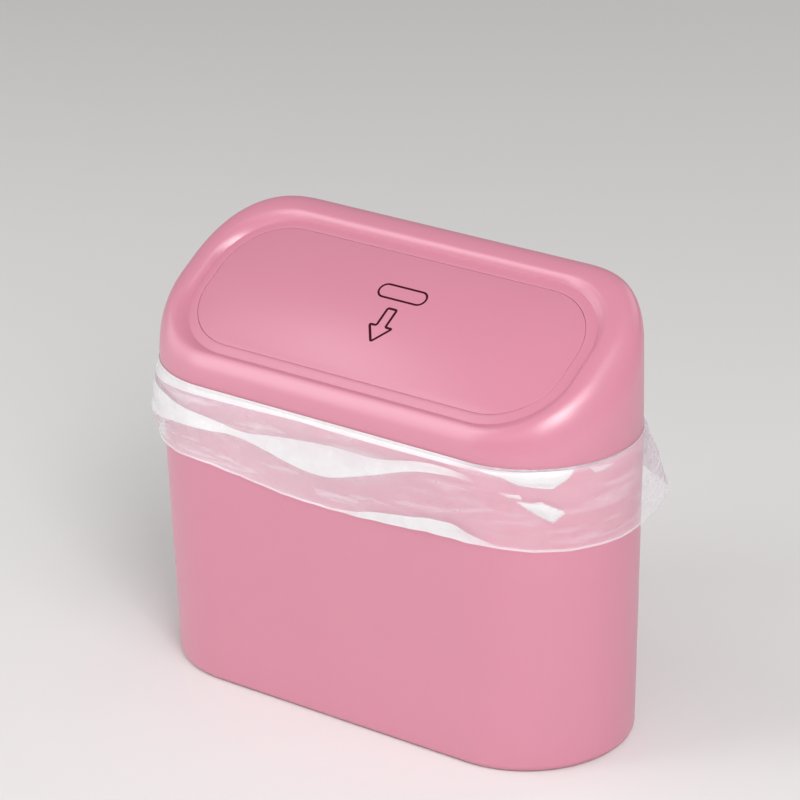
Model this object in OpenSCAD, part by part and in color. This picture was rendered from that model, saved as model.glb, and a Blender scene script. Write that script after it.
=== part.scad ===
// Hanging car trash bin: an oval bucket, a slanted hood with a sprung push flap,
// a thin bag that lines the bucket and folds over its rim, and two hooks at the back.
// The base stands on z = 0, the front faces -Y and the width runs along X.

/* [Bucket] */
// Width at the rim
body_w = 220; // [200:1:250]
// Depth at the rim, front to back
body_d = 88; // [84:1:100]
// Height of the bucket's rim
bucket_h = 131.2; // [120:0.1:150]
// How much narrower the base is than the rim
taper_w = 7.6; // [0:0.1:14]
// How much shallower the base is than the rim
taper_d = 1.4; // [0:0.1:6]
// Thickness of the bucket's wall
wall = 2; // [1.6:0.1:2.6]
// Thickness of the bucket's floor
floor_t = 2.2; // [1.6:0.1:4]
// Radius of the edge round the base
base_r = 3; // [1:0.5:5]

/* [Hood] */
// Slope of the hood and its flap, in degrees
slope = 30.3; // [26:0.1:34]
// Height of the sloping plane above the hood's lower edge, at the front wall
front_rise = 11.5; // [10:0.1:16]
// Depth of the hood's round shoulder, measured down from the crest
shoulder_drop = 18.3; // [14:0.1:22]
// Thickness of the hood's shell
shell = 2.2; // [1.6:0.1:2.6]
// Straight skirt at the front, below the shoulder
skirt_h = 2.5; // [2:0.1:4]
// Length of the collar that plugs into the bucket's mouth
collar_h = 12; // [8:0.5:20]
// Thickness of that collar
collar_t = 2; // [1.5:0.1:3]
// Width of the sunken ledge round the flap
ledge_w = 4.5; // [3.5:0.1:5]
// Width of the slope between the ledge and the crest
bank_w = 3.1; // [2.5:0.1:3.5]
// Depth of the ledge below the crest
ledge_drop = 2.15; // [1.5:0.05:3]
// How far the ledge dips at its outer edge
ledge_dip = 0.6; // [0:0.05:0.8]
// How much smaller the crest's corner radius is than an even border would give
crest_tight = 5; // [0:0.5:8]
// How much fuller than an ellipse the shoulder is at the two rear corners
rear_full = 0.65; // [0:0.05:1.5]

/* [Flap] */
// Width of the flap
flap_w = 176; // [150:1:180]
// Depth of the flap along the slope
flap_d = 63.6; // [56:0.2:65]
// Corner radius of the flap
flap_r = 26.5; // [18:0.5:27]
// Thickness of the flap's plate
flap_t = 2.2; // [1.8:0.1:3]
// Gap round the flap
flap_gap = 0.6; // [0.5:0.05:1]
// Place of the flap's middle, in front of the bin's middle
flap_forward = 4.9; // [4:0.1:6]
// Depth of the stiffening rim under the flap
rib_h = 3; // [2:0.1:4]
// Thickness of the flap's ribs
rib_t = 1.6; // [1.2:0.1:2.4]

/* [Hinge] */
// Radius of the steel hinge rod
rod_r = 1.5; // [1:0.1:2]
// Distance of the hinge axis from the flap's rear edge
hinge_in = 10; // [9:0.5:13]
// Depth of the hinge axis below the flap's face
hinge_deep = 6; // [5.5:0.1:8]
// Half of the distance between the hood's two hinge lugs
lug_x = 64; // [58:1:66]
// Width of each lug
lug_w = 4; // [3:0.5:5]
// Width of each of the flap's two knuckles
knuckle_w = 7; // [5:0.5:9]
// Plastic round the rod in a lug or knuckle
eye_wall = 1.7; // [1.3:0.1:2]
// Radius of the spring's wire
wire_r = 0.4; // [0.3:0.05:0.5]
// Turns of the spring
spring_turns = 7; // [5:1:8]

/* [Bag] */
// Thickness of the bag as modelled
film = 0.4; // [0.3:0.05:0.6]
// Length of the folded cuff at the front
cuff_front = 36; // [26:1:50]
// Length of the folded cuff at the ends
cuff_end = 32; // [24:1:50]
// Depth of the cuff's folds at the hem
cuff_wave = 1.3; // [0:0.1:2]

/* [Hooks] */
// Distance between the two hooks
hook_gap = 96; // [80:1:110]
// Width of each hook
hook_w = 16; // [14:0.5:22]
// Height of each hook
hook_h = 30; // [24:1:36]
// Distance of the hooks' tops below the bucket's rim
hook_below = 15.2; // [14:0.2:24]
// Room inside the hook for the edge it hangs on
throat = 6.5; // [5:0.5:8]
// Thickness of the hook's outer leg and bridge
hook_t = 3; // [2.4:0.1:4]

/* [Fits] */
// Gap between the bag and what it lies against
film_gap = 0.2; // [0.15:0.01:0.3]
// Radial clearance of the rod in the lugs and knuckles
rod_fit = 0.06; // [0.03:0.01:0.1]
// Clearance of a hook on its rail
rail_fit = 0.15; // [0.1:0.01:0.3]
// Gap between moving faces of the flap and hood
move_gap = 0.4; // [0.3:0.05:0.6]
// Room between the bag's lining and the hood's collar
collar_room = 1.2; // [1:0.1:2]

/* [Hidden] */
$fn = 48;

pink = [0.875, 0.6, 0.675];
corner_steps = 10;
eps = 0.01;

// How far a cut runs past what it cuts
past = 1;
// Shortest half length of the straight stretch at an outline's ends
end_flat = 0.4;
// Chamfer of the bucket's rim
rim_cut = 0.5;

// Levels of the rim, the bag that folds over it and the hood that sits on the bag
hood_z = bucket_h + film + 2 * film_gap;
plane_z = hood_z + front_rise;
collar_in = wall + 2 * film_gap + film + collar_room;

// Numbers of the sloping plane
tan_s = tan(slope);
cos_s = cos(slope);
ledge_fall = ledge_drop / cos_s;
panel_y = -flap_forward;
panel_z = plane_z + (panel_y + body_d / 2) * tan_s - ledge_fall;

// Hinge axis in the slope's own frame, from the flap's middle
hinge_v = flap_d / 2 - hinge_in;
eye_r = rod_r + rod_fit + eye_wall;
rod_past = 1;
rod_len = 2 * lug_x + lug_w + 2 * rod_past;
knuckle_x = lug_x - lug_w / 2 - move_gap - knuckle_w / 2;
spring_x1 = knuckle_x - knuckle_w / 2 - move_gap - wire_r;
coil_gap = 0.5;
coil_r = rod_r + wire_r + coil_gap;
turn_gap = 0.15;

// Legs of the spring: their lengths, and how far each slants up in degrees to what it presses on
rear_leg = 12.5;
rear_lift = 4;
front_leg = 18;
front_lift = 3;

// Tongues and ribs under the flap
tongue_x = 34;
tongue_w = 14;
tongue_t = 1.8;
tongue_reach = 2.6;
tongue_root = 4;
tongue_in = 0.5;
rib_space = 28;
rib_gap = 1;

// Rails at the back and what the hooks leave round them
hook_top = bucket_h - hook_below;
rail_stem_w = 4;
rail_stem = 2;
rail_head_w = 9;
rail_head = 2;
rail_short = 1.5;
hook_floor = 2;
rail_cover = 1.6;
plate_gap = 0.3;
plate_t = rail_stem + rail_head + rail_cover;
hook_depth = plate_t + throat + hook_t;
bulge_room = 0.5;
bulge = hook_depth + film + bulge_room;

// The bag's cuff swells out over the hooks: from this y backwards, over this run, and less near the ends
swell_y = -6;
swell_run = 34;
swell_end = 16;
swell_past = 3;
swell_drop = 14;
film_count = 14;

// Folds of the cuff and waves of its hem: height, degrees for each millimetre of x and of y, and start
fold_long = [0.25, 7, 3, 0];
fold_short = [0.25, 2.6, -5, 40];
hem_wave = [1.5, 3.1, 2, 20];
fold_start = 1.6;

// Half depth of the flat middle of the bag's floor, and how far the bag's underside is drawn in at the rim
floor_mid = 4;
rim_draw = 0.2;

// Underside of the crest: how far inside the crest it lies, and how far below the skirt's top it starts
crest_in = 1.4;
foot_drop = 0.6;
// Top of the collar's inner face, below the hood's lower edge
collar_top = 0.5;
// How far outside the ledge's edge its underside turns up, and how far a lug's root hangs below it
under_out = 0.6;
lug_root = 0.6;

// Height of the crest's plane over a point at y
function plane_at(y) = plane_z + (y + body_d / 2) * tan_s;

// One rounded corner, as points on an arc from angle a
function corner(cx, cy, r, a) =
  [for (k = [0:corner_steps])
    [cx + r * cos(a + 90 * k / corner_steps), cy + r * sin(a + 90 * k / corner_steps)]];

// Points between two corners
function side(a, b, count) = count == 0 ? [] : [for (k = [1:count]) a + (b - a) * k / (count + 1)];

// Rounded outline, w by d with corner radius r, anticlockwise, with extra points on its long sides
function outline(w, d, r, count = 0) =
  let (rr = min(r, d / 2 - end_flat), cx = w / 2 - rr, cy = d / 2 - rr)
  concat(corner(cx, cy, rr, 0), side([cx, d / 2], [-cx, d / 2], count),
         corner(-cx, cy, rr, 90), corner(-cx, -cy, rr, 180),
         side([-cx, -d / 2], [cx, -d / 2], count), corner(cx, -cy, rr, 270));

// Oval outline of the bin at a height, drawn in by an inset
function oval(z, inset, count = 0) =
  let (t = min(z / bucket_h, 1) - 1, w = body_w + taper_w * t, d = body_d + taper_d * t)
  outline(w - 2 * inset, d - 2 * inset, d, count);

// An outline laid at a height
function flat(points, z) = [for (p = points) [p[0], p[1], z]];

// A point of the slope's own frame, placed in the bin's frame
function on_slope(u, v, n) = [u, panel_y + v * cos_s - n * sin(slope), panel_z + v * sin(slope) + n * cos_s];

// The flap's outline grown by some width, n above its face, its corners tightened by a radius
function slope_ring(grow, n, tight = 0) =
  let (points = outline(flap_w + 2 * grow, flap_d + 2 * grow, flap_r + grow - tight))
  [for (p = points) on_slope(p[0], p[1], n)];

// Closed shell through rings of equal count: capped at both ends, or joined end to start
module loft(rings, joined = false) {
  n = len(rings[0]);
  m = len(rings);
  strips = [for (j = [0:m - (joined ? 1 : 2)], i = [0:n - 1])
    let (next = (i + 1) % n, here = j * n, there = (j + 1) % m * n)
    each [[here + i, there + i, there + next], [here + i, there + next, here + next]]];
  caps = joined ? [] : [[for (i = [0:n - 1]) i], [for (i = [0:n - 1]) m * n - 1 - i]];
  polyhedron(points = [for (ring = rings) each ring], faces = concat(strips, caps), convexity = 6);
}

// Places children in the slope's own frame: x across, y up the slope, z out of the flap's face
module slope_frame() {
  translate([0, panel_y, panel_z]) rotate([slope, 0, 0]) children();
}

// Flat plate with round corners
module rounded_plate(w, d, r, t) {
  linear_extrude(t) union() {
    square([w - 2 * r, d], center = true);
    square([w, d - 2 * r], center = true);
    for (x = [-1, 1], y = [-1, 1]) translate([x * (w / 2 - r), y * (d / 2 - r)]) circle(r);
  }
}

// Bar along X, centred on x
module x_bar(x, length, r) {
  translate([x - length / 2, 0, 0]) rotate([0, 90, 0]) cylinder(r = r, h = length);
}

// Side view of a piece, drawn as depth and height, given a width along X and centred on x
module x_slab(x, width) {
  translate([x - width / 2, 0, 0]) rotate([90, 0, 90]) linear_extrude(width) children();
}

// T-shaped rail that a hook is pushed onto from below
module hook_rail(x) {
  back = body_d / 2 - wall / 2;
  low = hook_top - hook_h + hook_floor + rail_fit;
  high = hook_top - rail_short;
  translate([x, 0, low]) {
    translate([-rail_stem_w / 2, back, 0]) cube([rail_stem_w, wall / 2 + rail_stem + eps, high - low]);
    translate([-rail_head_w / 2, body_d / 2 + rail_stem, 0]) cube([rail_head_w, rail_head, high - low]);
  }
}

// Bucket
module bucket() {
  steps = 4;
  outside = [for (k = [0:steps]) let (a = 90 * k / steps, z = base_r * (1 - cos(a)))
    flat(oval(z, base_r * (1 - sin(a))), z)];
  low = bucket_h - rim_cut;
  rim = [flat(oval(low, 0), low), flat(oval(bucket_h, rim_cut), bucket_h),
         flat(oval(bucket_h, wall - rim_cut), bucket_h), flat(oval(low, wall), low)];
  inside = [for (k = [steps:-1:0]) let (a = 90 * k / steps, z = floor_t + base_r * (1 - cos(a)))
    flat(oval(z, wall + base_r * (1 - sin(a))), z)];
  color(pink) union() {
    loft(concat(outside, rim, inside));
    for (x = [-hook_gap / 2, hook_gap / 2]) hook_rail(x);
  }
}

// Smooth step from 0 to 1
function ease(t) = let (c = max(0, min(1, t))) c * c * (3 - 2 * c);

// Share of the back bulge at a point of the cuff, full over the hooks and none at the front
function back_share(p) =
  ease((p[1] - swell_y) / swell_run) * ease((body_w / 2 + swell_past - abs(p[0])) / swell_end);

// One wave along the rim, at a point
function wave(p, w) = w[0] * sin(w[1] * p[0] + w[2] * p[1] + w[3]);

// Fold of the cuff round the bin, from 0 to 1
function fold(p) = 0.5 + wave(p, fold_long) + wave(p, fold_short);

// Length of the cuff at a point of the rim
function cuff_length(p) =
  let (end = pow(abs(p[0]) / (body_w / 2), 2))
  cuff_front + (cuff_end - cuff_front) * end + wave(p, hem_wave);

// Cuff ring, a share s of the way from the rim down to the hem, offset outwards
function cuff_ring(s, out) =
  let (rim_points = oval(bucket_h, 0, film_count), edge = oval(bucket_h, -out - film_gap, film_count))
  [for (i = [0:len(edge) - 1])
    let (p = edge[i], q = rim_points[i], dir = (p - q) / norm(p - q),
         drop = s * cuff_length(q), ripple = cuff_wave * fold(q) * ease(s * fold_start),
         back = bulge * back_share(q) * ease(drop / swell_drop))
    [p[0] + dir[0] * ripple, p[1] + dir[1] * ripple + back, bucket_h - drop]];

// Liner bag
module liner_bag() {
  count = film_count;
  steps = 3;
  low = floor_t + film_gap;
  lie = wall + film_gap;
  top = bucket_h + film_gap;
  cuff_steps = [0.04, 0.12, 0.22, 0.34, 0.48, 0.64, 0.82, 1];
  last = len(cuff_steps) - 1;
  upper = concat(
    [flat(oval(low, body_d / 2 - floor_mid, count), low + film)],
    [for (k = [0:steps]) let (a = 90 * k / steps, z = low + film + base_r * (1 - cos(a)))
      flat(oval(z, lie + film + base_r * (1 - sin(a)), count), z)],
    [flat(oval(bucket_h, lie + film, count), bucket_h),
     flat(oval(bucket_h, lie, count), top + film),
     flat(oval(bucket_h, 0, count), top + film)],
    [for (s = cuff_steps) cuff_ring(s, film)]);
  under = concat(
    [for (k = [last:-1:0]) cuff_ring(cuff_steps[k], 0)],
    [flat(oval(bucket_h, rim_draw, count), top), flat(oval(bucket_h, lie - rim_draw, count), top),
     flat(oval(bucket_h - rim_cut, lie, count), bucket_h - rim_cut)],
    [for (k = [steps:-1:0]) let (a = 90 * k / steps, z = low + base_r * (1 - cos(a)))
      flat(oval(z, lie + base_r * (1 - sin(a)), count), z)],
    [flat(oval(low, body_d / 2 - floor_mid, count), low)]);
  reversed = [for (ring = concat(upper, under)) [for (i = [len(ring) - 1:-1:0]) ring[i]]];
  color([0.95, 0.93, 0.94, 0.6]) loft(reversed);
}

// Power of the shoulder's curve over a point of the wall: 1 is an ellipse, less is fuller
function shoulder_power(p) =
  let (turn = atan2(p[1], max(abs(p[0]) - (body_w - body_d) / 2, 0)))
  2 / (2 + (p[1] > 0 ? rear_full * pow(sin(2 * turn), 2) : 0));

// Ring of the hood's round shoulder: a is 0 at the wall and 90 at the crest
function shoulder_ring(a, inset, crest, thick, start) =
  let (foot = oval(bucket_h, inset))
  [for (i = [0:len(foot) - 1])
    let (p = foot[i], q = [crest[i][0], crest[i][1]], power = shoulder_power(p),
         low = max(plane_at(p[1]) - shoulder_drop, start),
         drop = plane_at(p[1]) - thick - low,
         at = p + (q - p) * (1 - pow(cos(a), power)))
    [at[0], at[1], plane_at(at[1]) - thick - drop * (1 - pow(sin(a), power))]];

// Hinge lug: an eye for the rod on an arm that reaches forward from under the rear ledge
module hinge_lug(x) {
  rear = flap_d / 2 + flap_gap;
  low = -hinge_deep - eye_r;
  slope_frame() {
    translate([0, hinge_v, -hinge_deep]) x_bar(x, lug_w, eye_r);
    x_slab(x, lug_w) union() {
      translate([hinge_v, low]) square([rear - hinge_v + past, hinge_deep - flap_t - move_gap + eye_r]);
      polygon([[rear + move_gap, low], [rear + ledge_w, -shell - lug_root], [rear + ledge_w, -shell / 2],
               [rear + move_gap, -shell / 2]]);
    }
  }
}

// Hood
module hood() {
  steps = 7;
  grow = ledge_w + bank_w;
  crest = slope_ring(grow, ledge_drop, crest_tight);
  crest_under = slope_ring(grow - crest_in, ledge_drop - shell, crest_tight);
  thick = shell / cos_s;
  foot_in = hood_z + skirt_h - foot_drop;
  // The bank's profile as shares of its width and depth, then the ledge's as distances outwards and up
  bank = [[0.7, 0.86], [0.3, 0.2]];
  ledge = [[ledge_w, -ledge_dip], [flap_gap, 0], [flap_gap, -shell], [ledge_w - 1, -shell],
           [ledge_w + under_out, -shell - ledge_dip / 2]];
  rings = concat(
    [flat(oval(bucket_h, 0), hood_z)],
    [for (k = [0:steps]) shoulder_ring(90 * k / steps, 0, crest, 0, hood_z + skirt_h)],
    [for (p = bank) slope_ring(ledge_w + bank_w * p[0], ledge_drop * p[1], crest_tight * p[0])],
    [for (p = ledge) slope_ring(p[0], p[1])],
    [for (k = [steps:-1:0]) shoulder_ring(90 * k / steps, shell, crest_under, thick, foot_in)],
    [flat(oval(bucket_h, collar_in + collar_t), hood_z - collar_top),
     flat(oval(bucket_h, collar_in + collar_t), hood_z - collar_h),
     flat(oval(bucket_h, collar_in), hood_z - collar_h),
     flat(oval(bucket_h, collar_in), hood_z)]);
  color(pink) difference() {
    union() {
      loft(rings, joined = true);
      for (x = [-lug_x, lug_x]) hinge_lug(x);
    }
    slope_frame() translate([0, hinge_v, -hinge_deep]) x_bar(0, rod_len + 2 * past, rod_r + rod_fit);
  }
}

// Knuckle under the flap, round the rod
module knuckle(x) {
  translate([0, hinge_v, -hinge_deep]) {
    x_bar(x, knuckle_w, eye_r);
    x_slab(x, knuckle_w) translate([-eye_r, 0]) square([2 * eye_r, hinge_deep - flap_t / 2]);
  }
}

// Tongue at the flap's front, which stops it under the hood's ledge
module stop_tongue(x) {
  front = -flap_d / 2;
  top = -shell - move_gap;
  x_slab(x, tongue_w) polygon([
    [front + tongue_root, -flap_t / 2], [front + tongue_in, -flap_t / 2], [front + tongue_in, top],
    [front - tongue_reach, top], [front - tongue_reach, top - tongue_t],
    [front + tongue_root, top - tongue_t]]);
}

// Flap
module flap() {
  rim_in = 3;
  color(pink) slope_frame() difference() {
    union() {
      translate([0, 0, -flap_t]) rounded_plate(flap_w, flap_d, flap_r, flap_t);
      difference() {
        translate([0, 0, -flap_t - rib_h])
          rounded_plate(flap_w - 2 * rim_in, flap_d - 2 * rim_in, flap_r - rim_in, rib_h + eps);
        translate([0, 0, -flap_t - rib_h - past])
          rounded_plate(flap_w - 2 * rim_in - 2 * rib_t, flap_d - 2 * rim_in - 2 * rib_t,
                        flap_r - rim_in - rib_t, rib_h + 2 * past);
        translate([-lug_x - lug_w, hinge_v - hinge_in, -flap_t - rib_h - past])
          cube([2 * (lug_x + lug_w), flap_d, rib_h + past]);
      }
      for (x = [-1.5:1:1.5]) translate([x * rib_space - rib_t / 2, -flap_d / 2 + rim_in, -flap_t - rib_h])
        cube([rib_t, hinge_v + flap_d / 2 - rim_in - eye_r - rib_gap, rib_h + eps]);
      for (x = [-knuckle_x, knuckle_x]) knuckle(x);
      for (x = [-tongue_x, tongue_x]) stop_tongue(x);
    }
    translate([0, hinge_v, -hinge_deep]) x_bar(0, rod_len, rod_r + rod_fit);
  }
}

// Hinge rod
module hinge_rod() {
  color("silver") slope_frame() translate([0, hinge_v, -hinge_deep]) x_bar(0, rod_len, rod_r);
}

// Points along the spring's wire as [x, v, n, angle]: one leg under the hood's rear ledge,
// the coil round the rod, and one leg under the flap
function spring_path() =
  let (rear = 90 + rear_lift, front = 90 - front_lift, per_turn = 14, count = spring_turns * per_turn,
       turn = 360 * spring_turns - rear_lift - front_lift, pitch = 2 * wire_r + turn_gap,
       at = function(a) [coil_r * cos(a), coil_r * sin(a)], back = at(rear), ahead = at(front),
       x_end = spring_x1 - spring_turns * pitch)
  concat(
    [[spring_x1, back[0] + rear_leg * cos(rear_lift), back[1] + rear_leg * sin(rear_lift), rear]],
    [for (k = [0:count]) let (a = rear + turn * k / count, p = at(a))
      [spring_x1 - spring_turns * pitch * k / count, p[0], p[1], a]],
    [[x_end, ahead[0] - front_leg * cos(front_lift), ahead[1] + front_leg * sin(front_lift), front]]);

// Return spring
module return_spring() {
  sides = 8;
  rings = [for (p = spring_path()) [for (k = [0:sides - 1]) let (b = -360 * k / sides)
    [p[0] + wire_r * cos(b), p[1] + wire_r * sin(b) * cos(p[3]), p[2] + wire_r * sin(b) * sin(p[3])]]];
  color("silver") slope_frame() translate([0, hinge_v, -hinge_deep]) loft(rings);
}

// Hook: a plate that grips the rail, bent over into a leg
module hook(x) {
  plate_y = body_d / 2 + plate_gap;
  bend = throat / 2;
  bend_y = body_d / 2 + plate_t + bend;
  bend_z = hook_top - bend - hook_t;
  bottom = hook_top - hook_h;
  leg_y = body_d / 2 + plate_t + throat;
  slot_z = bottom + hook_floor;
  color(pink) difference() {
    x_slab(x, hook_w) union() {
      translate([plate_y, bottom]) square([body_d / 2 + plate_t - plate_y, hook_h - hook_t - bend]);
      translate([leg_y, bottom + hook_t]) square([hook_t, bend_z - bottom - hook_t]);
      translate([leg_y + hook_t / 2, bottom + hook_t]) circle(hook_t / 2);
      difference() {
        union() {
          translate([bend_y, bend_z]) circle(bend + hook_t);
          translate([plate_y, bend_z]) square([bend_y - plate_y, bend + hook_t]);
        }
        translate([bend_y, bend_z]) circle(bend);
        translate([bend_y - bend, bottom]) square([2 * bend + 2 * hook_t, bend_z - bottom]);
      }
    }
    translate([x - rail_stem_w / 2 - rail_fit, 0, slot_z])
      cube([rail_stem_w + 2 * rail_fit, body_d / 2 + rail_stem + past, hook_h]);
    translate([x - rail_head_w / 2 - rail_fit, body_d / 2 + rail_stem - rail_fit, slot_z])
      cube([rail_head_w + 2 * rail_fit, rail_head + 2 * rail_fit, hook_h]);
  }
}

module hook_left() {
  hook(-hook_gap / 2);
}

module hook_right() {
  hook(hook_gap / 2);
}

bucket();
liner_bag();
hood();
flap();
hinge_rod();
return_spring();
hook_left();
hook_right();
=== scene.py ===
import math
import bmesh
import bpy
import numpy as np
from mathutils import Matrix, Vector


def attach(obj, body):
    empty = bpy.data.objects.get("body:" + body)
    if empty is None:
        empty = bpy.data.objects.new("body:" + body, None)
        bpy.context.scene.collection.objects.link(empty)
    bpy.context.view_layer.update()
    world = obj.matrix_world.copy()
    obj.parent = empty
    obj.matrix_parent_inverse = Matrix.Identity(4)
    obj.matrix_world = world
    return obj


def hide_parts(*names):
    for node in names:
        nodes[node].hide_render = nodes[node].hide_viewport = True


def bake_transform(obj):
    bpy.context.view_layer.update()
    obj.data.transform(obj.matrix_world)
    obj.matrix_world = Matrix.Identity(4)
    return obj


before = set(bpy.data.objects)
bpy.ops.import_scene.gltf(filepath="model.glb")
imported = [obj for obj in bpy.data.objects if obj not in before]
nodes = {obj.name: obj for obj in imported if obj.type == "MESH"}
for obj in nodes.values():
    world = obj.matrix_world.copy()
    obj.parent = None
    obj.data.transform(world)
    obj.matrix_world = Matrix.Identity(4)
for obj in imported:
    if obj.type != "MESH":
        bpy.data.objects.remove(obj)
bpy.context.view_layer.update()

mm = 0.001
scene = bpy.context.scene
print("frame loaded:", sorted(nodes))


# Sizes of the bucket, hood and flap, as in the CAD model, in mm
bucket = {
    "width": 220.0, "depth": 88.0, "rim": 131.2,
    "taperWidth": 7.6, "taperDepth": 1.4,
    "wall": 2.0, "floor": 2.2, "baseRadius": 3.0,
    "film": 0.4, "filmGap": 0.2, "railX": 48.0,
}
hood = {
    "slope": 30.3, "frontRise": 11.5, "shoulderDrop": 18.3, "shell": 2.2, "skirt": 2.5,
    "skirtEdge": [(0.4, 0), (0.12, 0.12), (0, 0.4)],
    "collarLength": 12.0, "collarIn": 4.0, "collarWall": 2.0, "collarEdge": 0.5,
    "ledge": 4.5, "bank": 3.1, "bankBend": 1.7, "ledgeDrop": 2.15, "valley": 0.6,
    "crestTight": 5.0, "crestUnder": 1.4, "rearFull": 0.65, "mouthGap": 0.15, "mouthEdge": 0.12,
    "arcSteps": 20, "sideSteps": 26, "shoulderSteps": 30, "bankSteps": 8, "mouthSteps": 3, "underSteps": 10,
}
flap = {
    "width": 176.0, "depth": 63.6, "radius": 26.5, "thick": 2.2, "gap": 0.6, "forward": 4.9,
    "hingeIn": 10.0, "hingeDeep": 6.0,
}
hood["edge"] = bucket["rim"] + bucket["film"] + 2 * bucket["filmGap"]
hood["plane"] = hood["edge"] + hood["frontRise"]
slope = math.radians(hood["slope"])
panelY = -flap["forward"]
panelZ = (hood["plane"] + (panelY + bucket["depth"] / 2) * math.tan(slope)
          - hood["ledgeDrop"] / math.cos(slope))


# Mesh helpers

def meshObject(name, points, faces, sharp=35.0):
    mesh = bpy.data.meshes.new(name)
    mesh.from_pydata([tuple(p) for p in np.asarray(points) * mm], [], faces)
    mesh.validate()
    obj = bpy.data.objects.new(name, mesh)
    scene.collection.objects.link(obj)
    if signedVolume(mesh) < 0:
        mesh.flip_normals()
    smooth(mesh, sharp)
    return obj


def signedVolume(mesh):
    mesh.calc_loop_triangles()
    co = np.zeros(len(mesh.vertices) * 3)
    mesh.vertices.foreach_get("co", co)
    tri = np.zeros(len(mesh.loop_triangles) * 3, int)
    mesh.loop_triangles.foreach_get("vertices", tri)
    a, b, c = (co.reshape(-1, 3)[tri.reshape(-1, 3)[:, i]] for i in range(3))
    return float((a * np.cross(b, c)).sum() / 6)


def smooth(mesh, sharp):
    mesh.shade_smooth()
    mesh.set_sharp_from_angle(angle=math.radians(sharp))


def loftFaces(count, ringCount, closed):
    faces = []
    for j in range(ringCount if closed else ringCount - 1):
        k = (j + 1) % ringCount
        for i in range(count):
            n = (i + 1) % count
            faces.append((j * count + i, j * count + n, k * count + n, k * count + i))
    if not closed:
        faces.append(tuple(range(count - 1, -1, -1)))
        faces.append(tuple((ringCount - 1) * count + i for i in range(count)))
    return faces


def loft(name, rings, closed=False, sharp=35.0):
    rings = [np.asarray(ring, float) for ring in rings]
    return meshObject(name, np.concatenate(rings), loftFaces(len(rings[0]), len(rings), closed), sharp)


def roundOutline(width, depth, radius, arcSteps, sideSteps):
    radius = min(radius, depth / 2 - 0.4)
    cx, cy = width / 2 - radius, depth / 2 - radius
    points = []
    for number, (x, y) in enumerate(((cx, cy), (-cx, cy), (-cx, -cy), (cx, -cy))):
        for k in range(arcSteps + 1):
            a = math.radians(90 * number + 90 * k / arcSteps)
            points.append((x + radius * math.cos(a), y + radius * math.sin(a)))
        if number in (0, 2):
            end = -x
            for k in range(1, sideSteps + 1):
                points.append((x + (end - x) * k / (sideSteps + 1), y + math.copysign(radius, y)))
    return np.array(points)


def oval(z, inset, arcSteps, sideSteps):
    t = min(z / bucket["rim"], 1) - 1
    width = bucket["width"] + bucket["taperWidth"] * t
    depth = bucket["depth"] + bucket["taperDepth"] * t
    return roundOutline(width - 2 * inset, depth - 2 * inset, depth, arcSteps, sideSteps)


def atHeight(points, z):
    return np.column_stack([points, np.full(len(points), z)])


def onSlope(u, v, n):
    return np.stack([u + 0 * v, panelY + v * math.cos(slope) - n * math.sin(slope),
                     panelZ + v * math.sin(slope) + n * math.cos(slope)], axis=-1)


def planeAt(y):
    return hood["plane"] + (y + bucket["depth"] / 2) * math.tan(slope)


# Bucket: one moulded shell

def makeBucket():
    look = {"arcSteps": 24, "sideSteps": 20, "edge": 0.6, "edgeSteps": 4, "fillet": 6, "rows": 10,
            "underside": [(12, 0.6), (9, 0.6), (8.4, 0)]}
    steps = look["arcSteps"], look["sideSteps"]
    r, wall, rim, low = bucket["baseRadius"], bucket["wall"], bucket["rim"], bucket["floor"]
    edge = look["edge"]
    rings = [atHeight(oval(0, inset, *steps), z) for inset, z in look["underside"]]
    for k in range(look["fillet"] + 1):
        a = math.radians(90 * k / look["fillet"])
        z = r * (1 - math.cos(a))
        rings.append(atHeight(oval(z, r * (1 - math.sin(a)), *steps), z))
    for k in range(1, look["rows"]):
        z = r + (rim - edge - r) * k / look["rows"]
        rings.append(atHeight(oval(z, 0, *steps), z))
    for k in range(look["edgeSteps"] + 1):
        a = math.radians(90 * k / look["edgeSteps"])
        z = rim - edge * (1 - math.sin(a))
        rings.append(atHeight(oval(z, edge * (1 - math.cos(a)), *steps), z))
    for k in range(look["edgeSteps"], -1, -1):
        a = math.radians(90 * k / look["edgeSteps"])
        z = rim - edge * (1 - math.sin(a))
        rings.append(atHeight(oval(z, wall - edge * (1 - math.cos(a)), *steps), z))
    for k in range(look["fillet"], -1, -1):
        a = math.radians(90 * k / look["fillet"])
        z = low + r * (1 - math.cos(a))
        rings.append(atHeight(oval(z, wall + r * (1 - math.sin(a)), *steps), z))
    return loft("bucketShell", rings, sharp=50)


# Hood: outer shoulder, bank, ledge, mouth, inside and collar as one closed ring of rings

def slopeRing(grow, n, steps, tight=0.0):
    radius = flap["radius"] + grow - tight
    points = roundOutline(flap["width"] + 2 * grow, flap["depth"] + 2 * grow, radius, *steps)
    return onSlope(points[:, 0], points[:, 1], n)


def shoulderRing(angle, inset, crest, thick, start, steps):
    foot = oval(bucket["rim"], inset, *steps)
    turn = np.arctan2(foot[:, 1], np.maximum(np.abs(foot[:, 0]) - (bucket["width"] - bucket["depth"]) / 2, 0))
    power = 2 / (2 + hood["rearFull"] * np.where(foot[:, 1] > 0, np.sin(2 * turn) ** 2, 0))
    lift = 1 - max(math.sin(math.radians(angle)), 0) ** power
    sweep = (1 - max(math.cos(math.radians(angle)), 0) ** power)[:, None]
    low = np.maximum(planeAt(foot[:, 1]) - hood["shoulderDrop"], start)
    drop = planeAt(foot[:, 1]) - thick - low
    at = foot + (crest[:, :2] - foot) * sweep
    return np.column_stack([at, planeAt(at[:, 1]) - thick - drop * lift])


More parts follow.
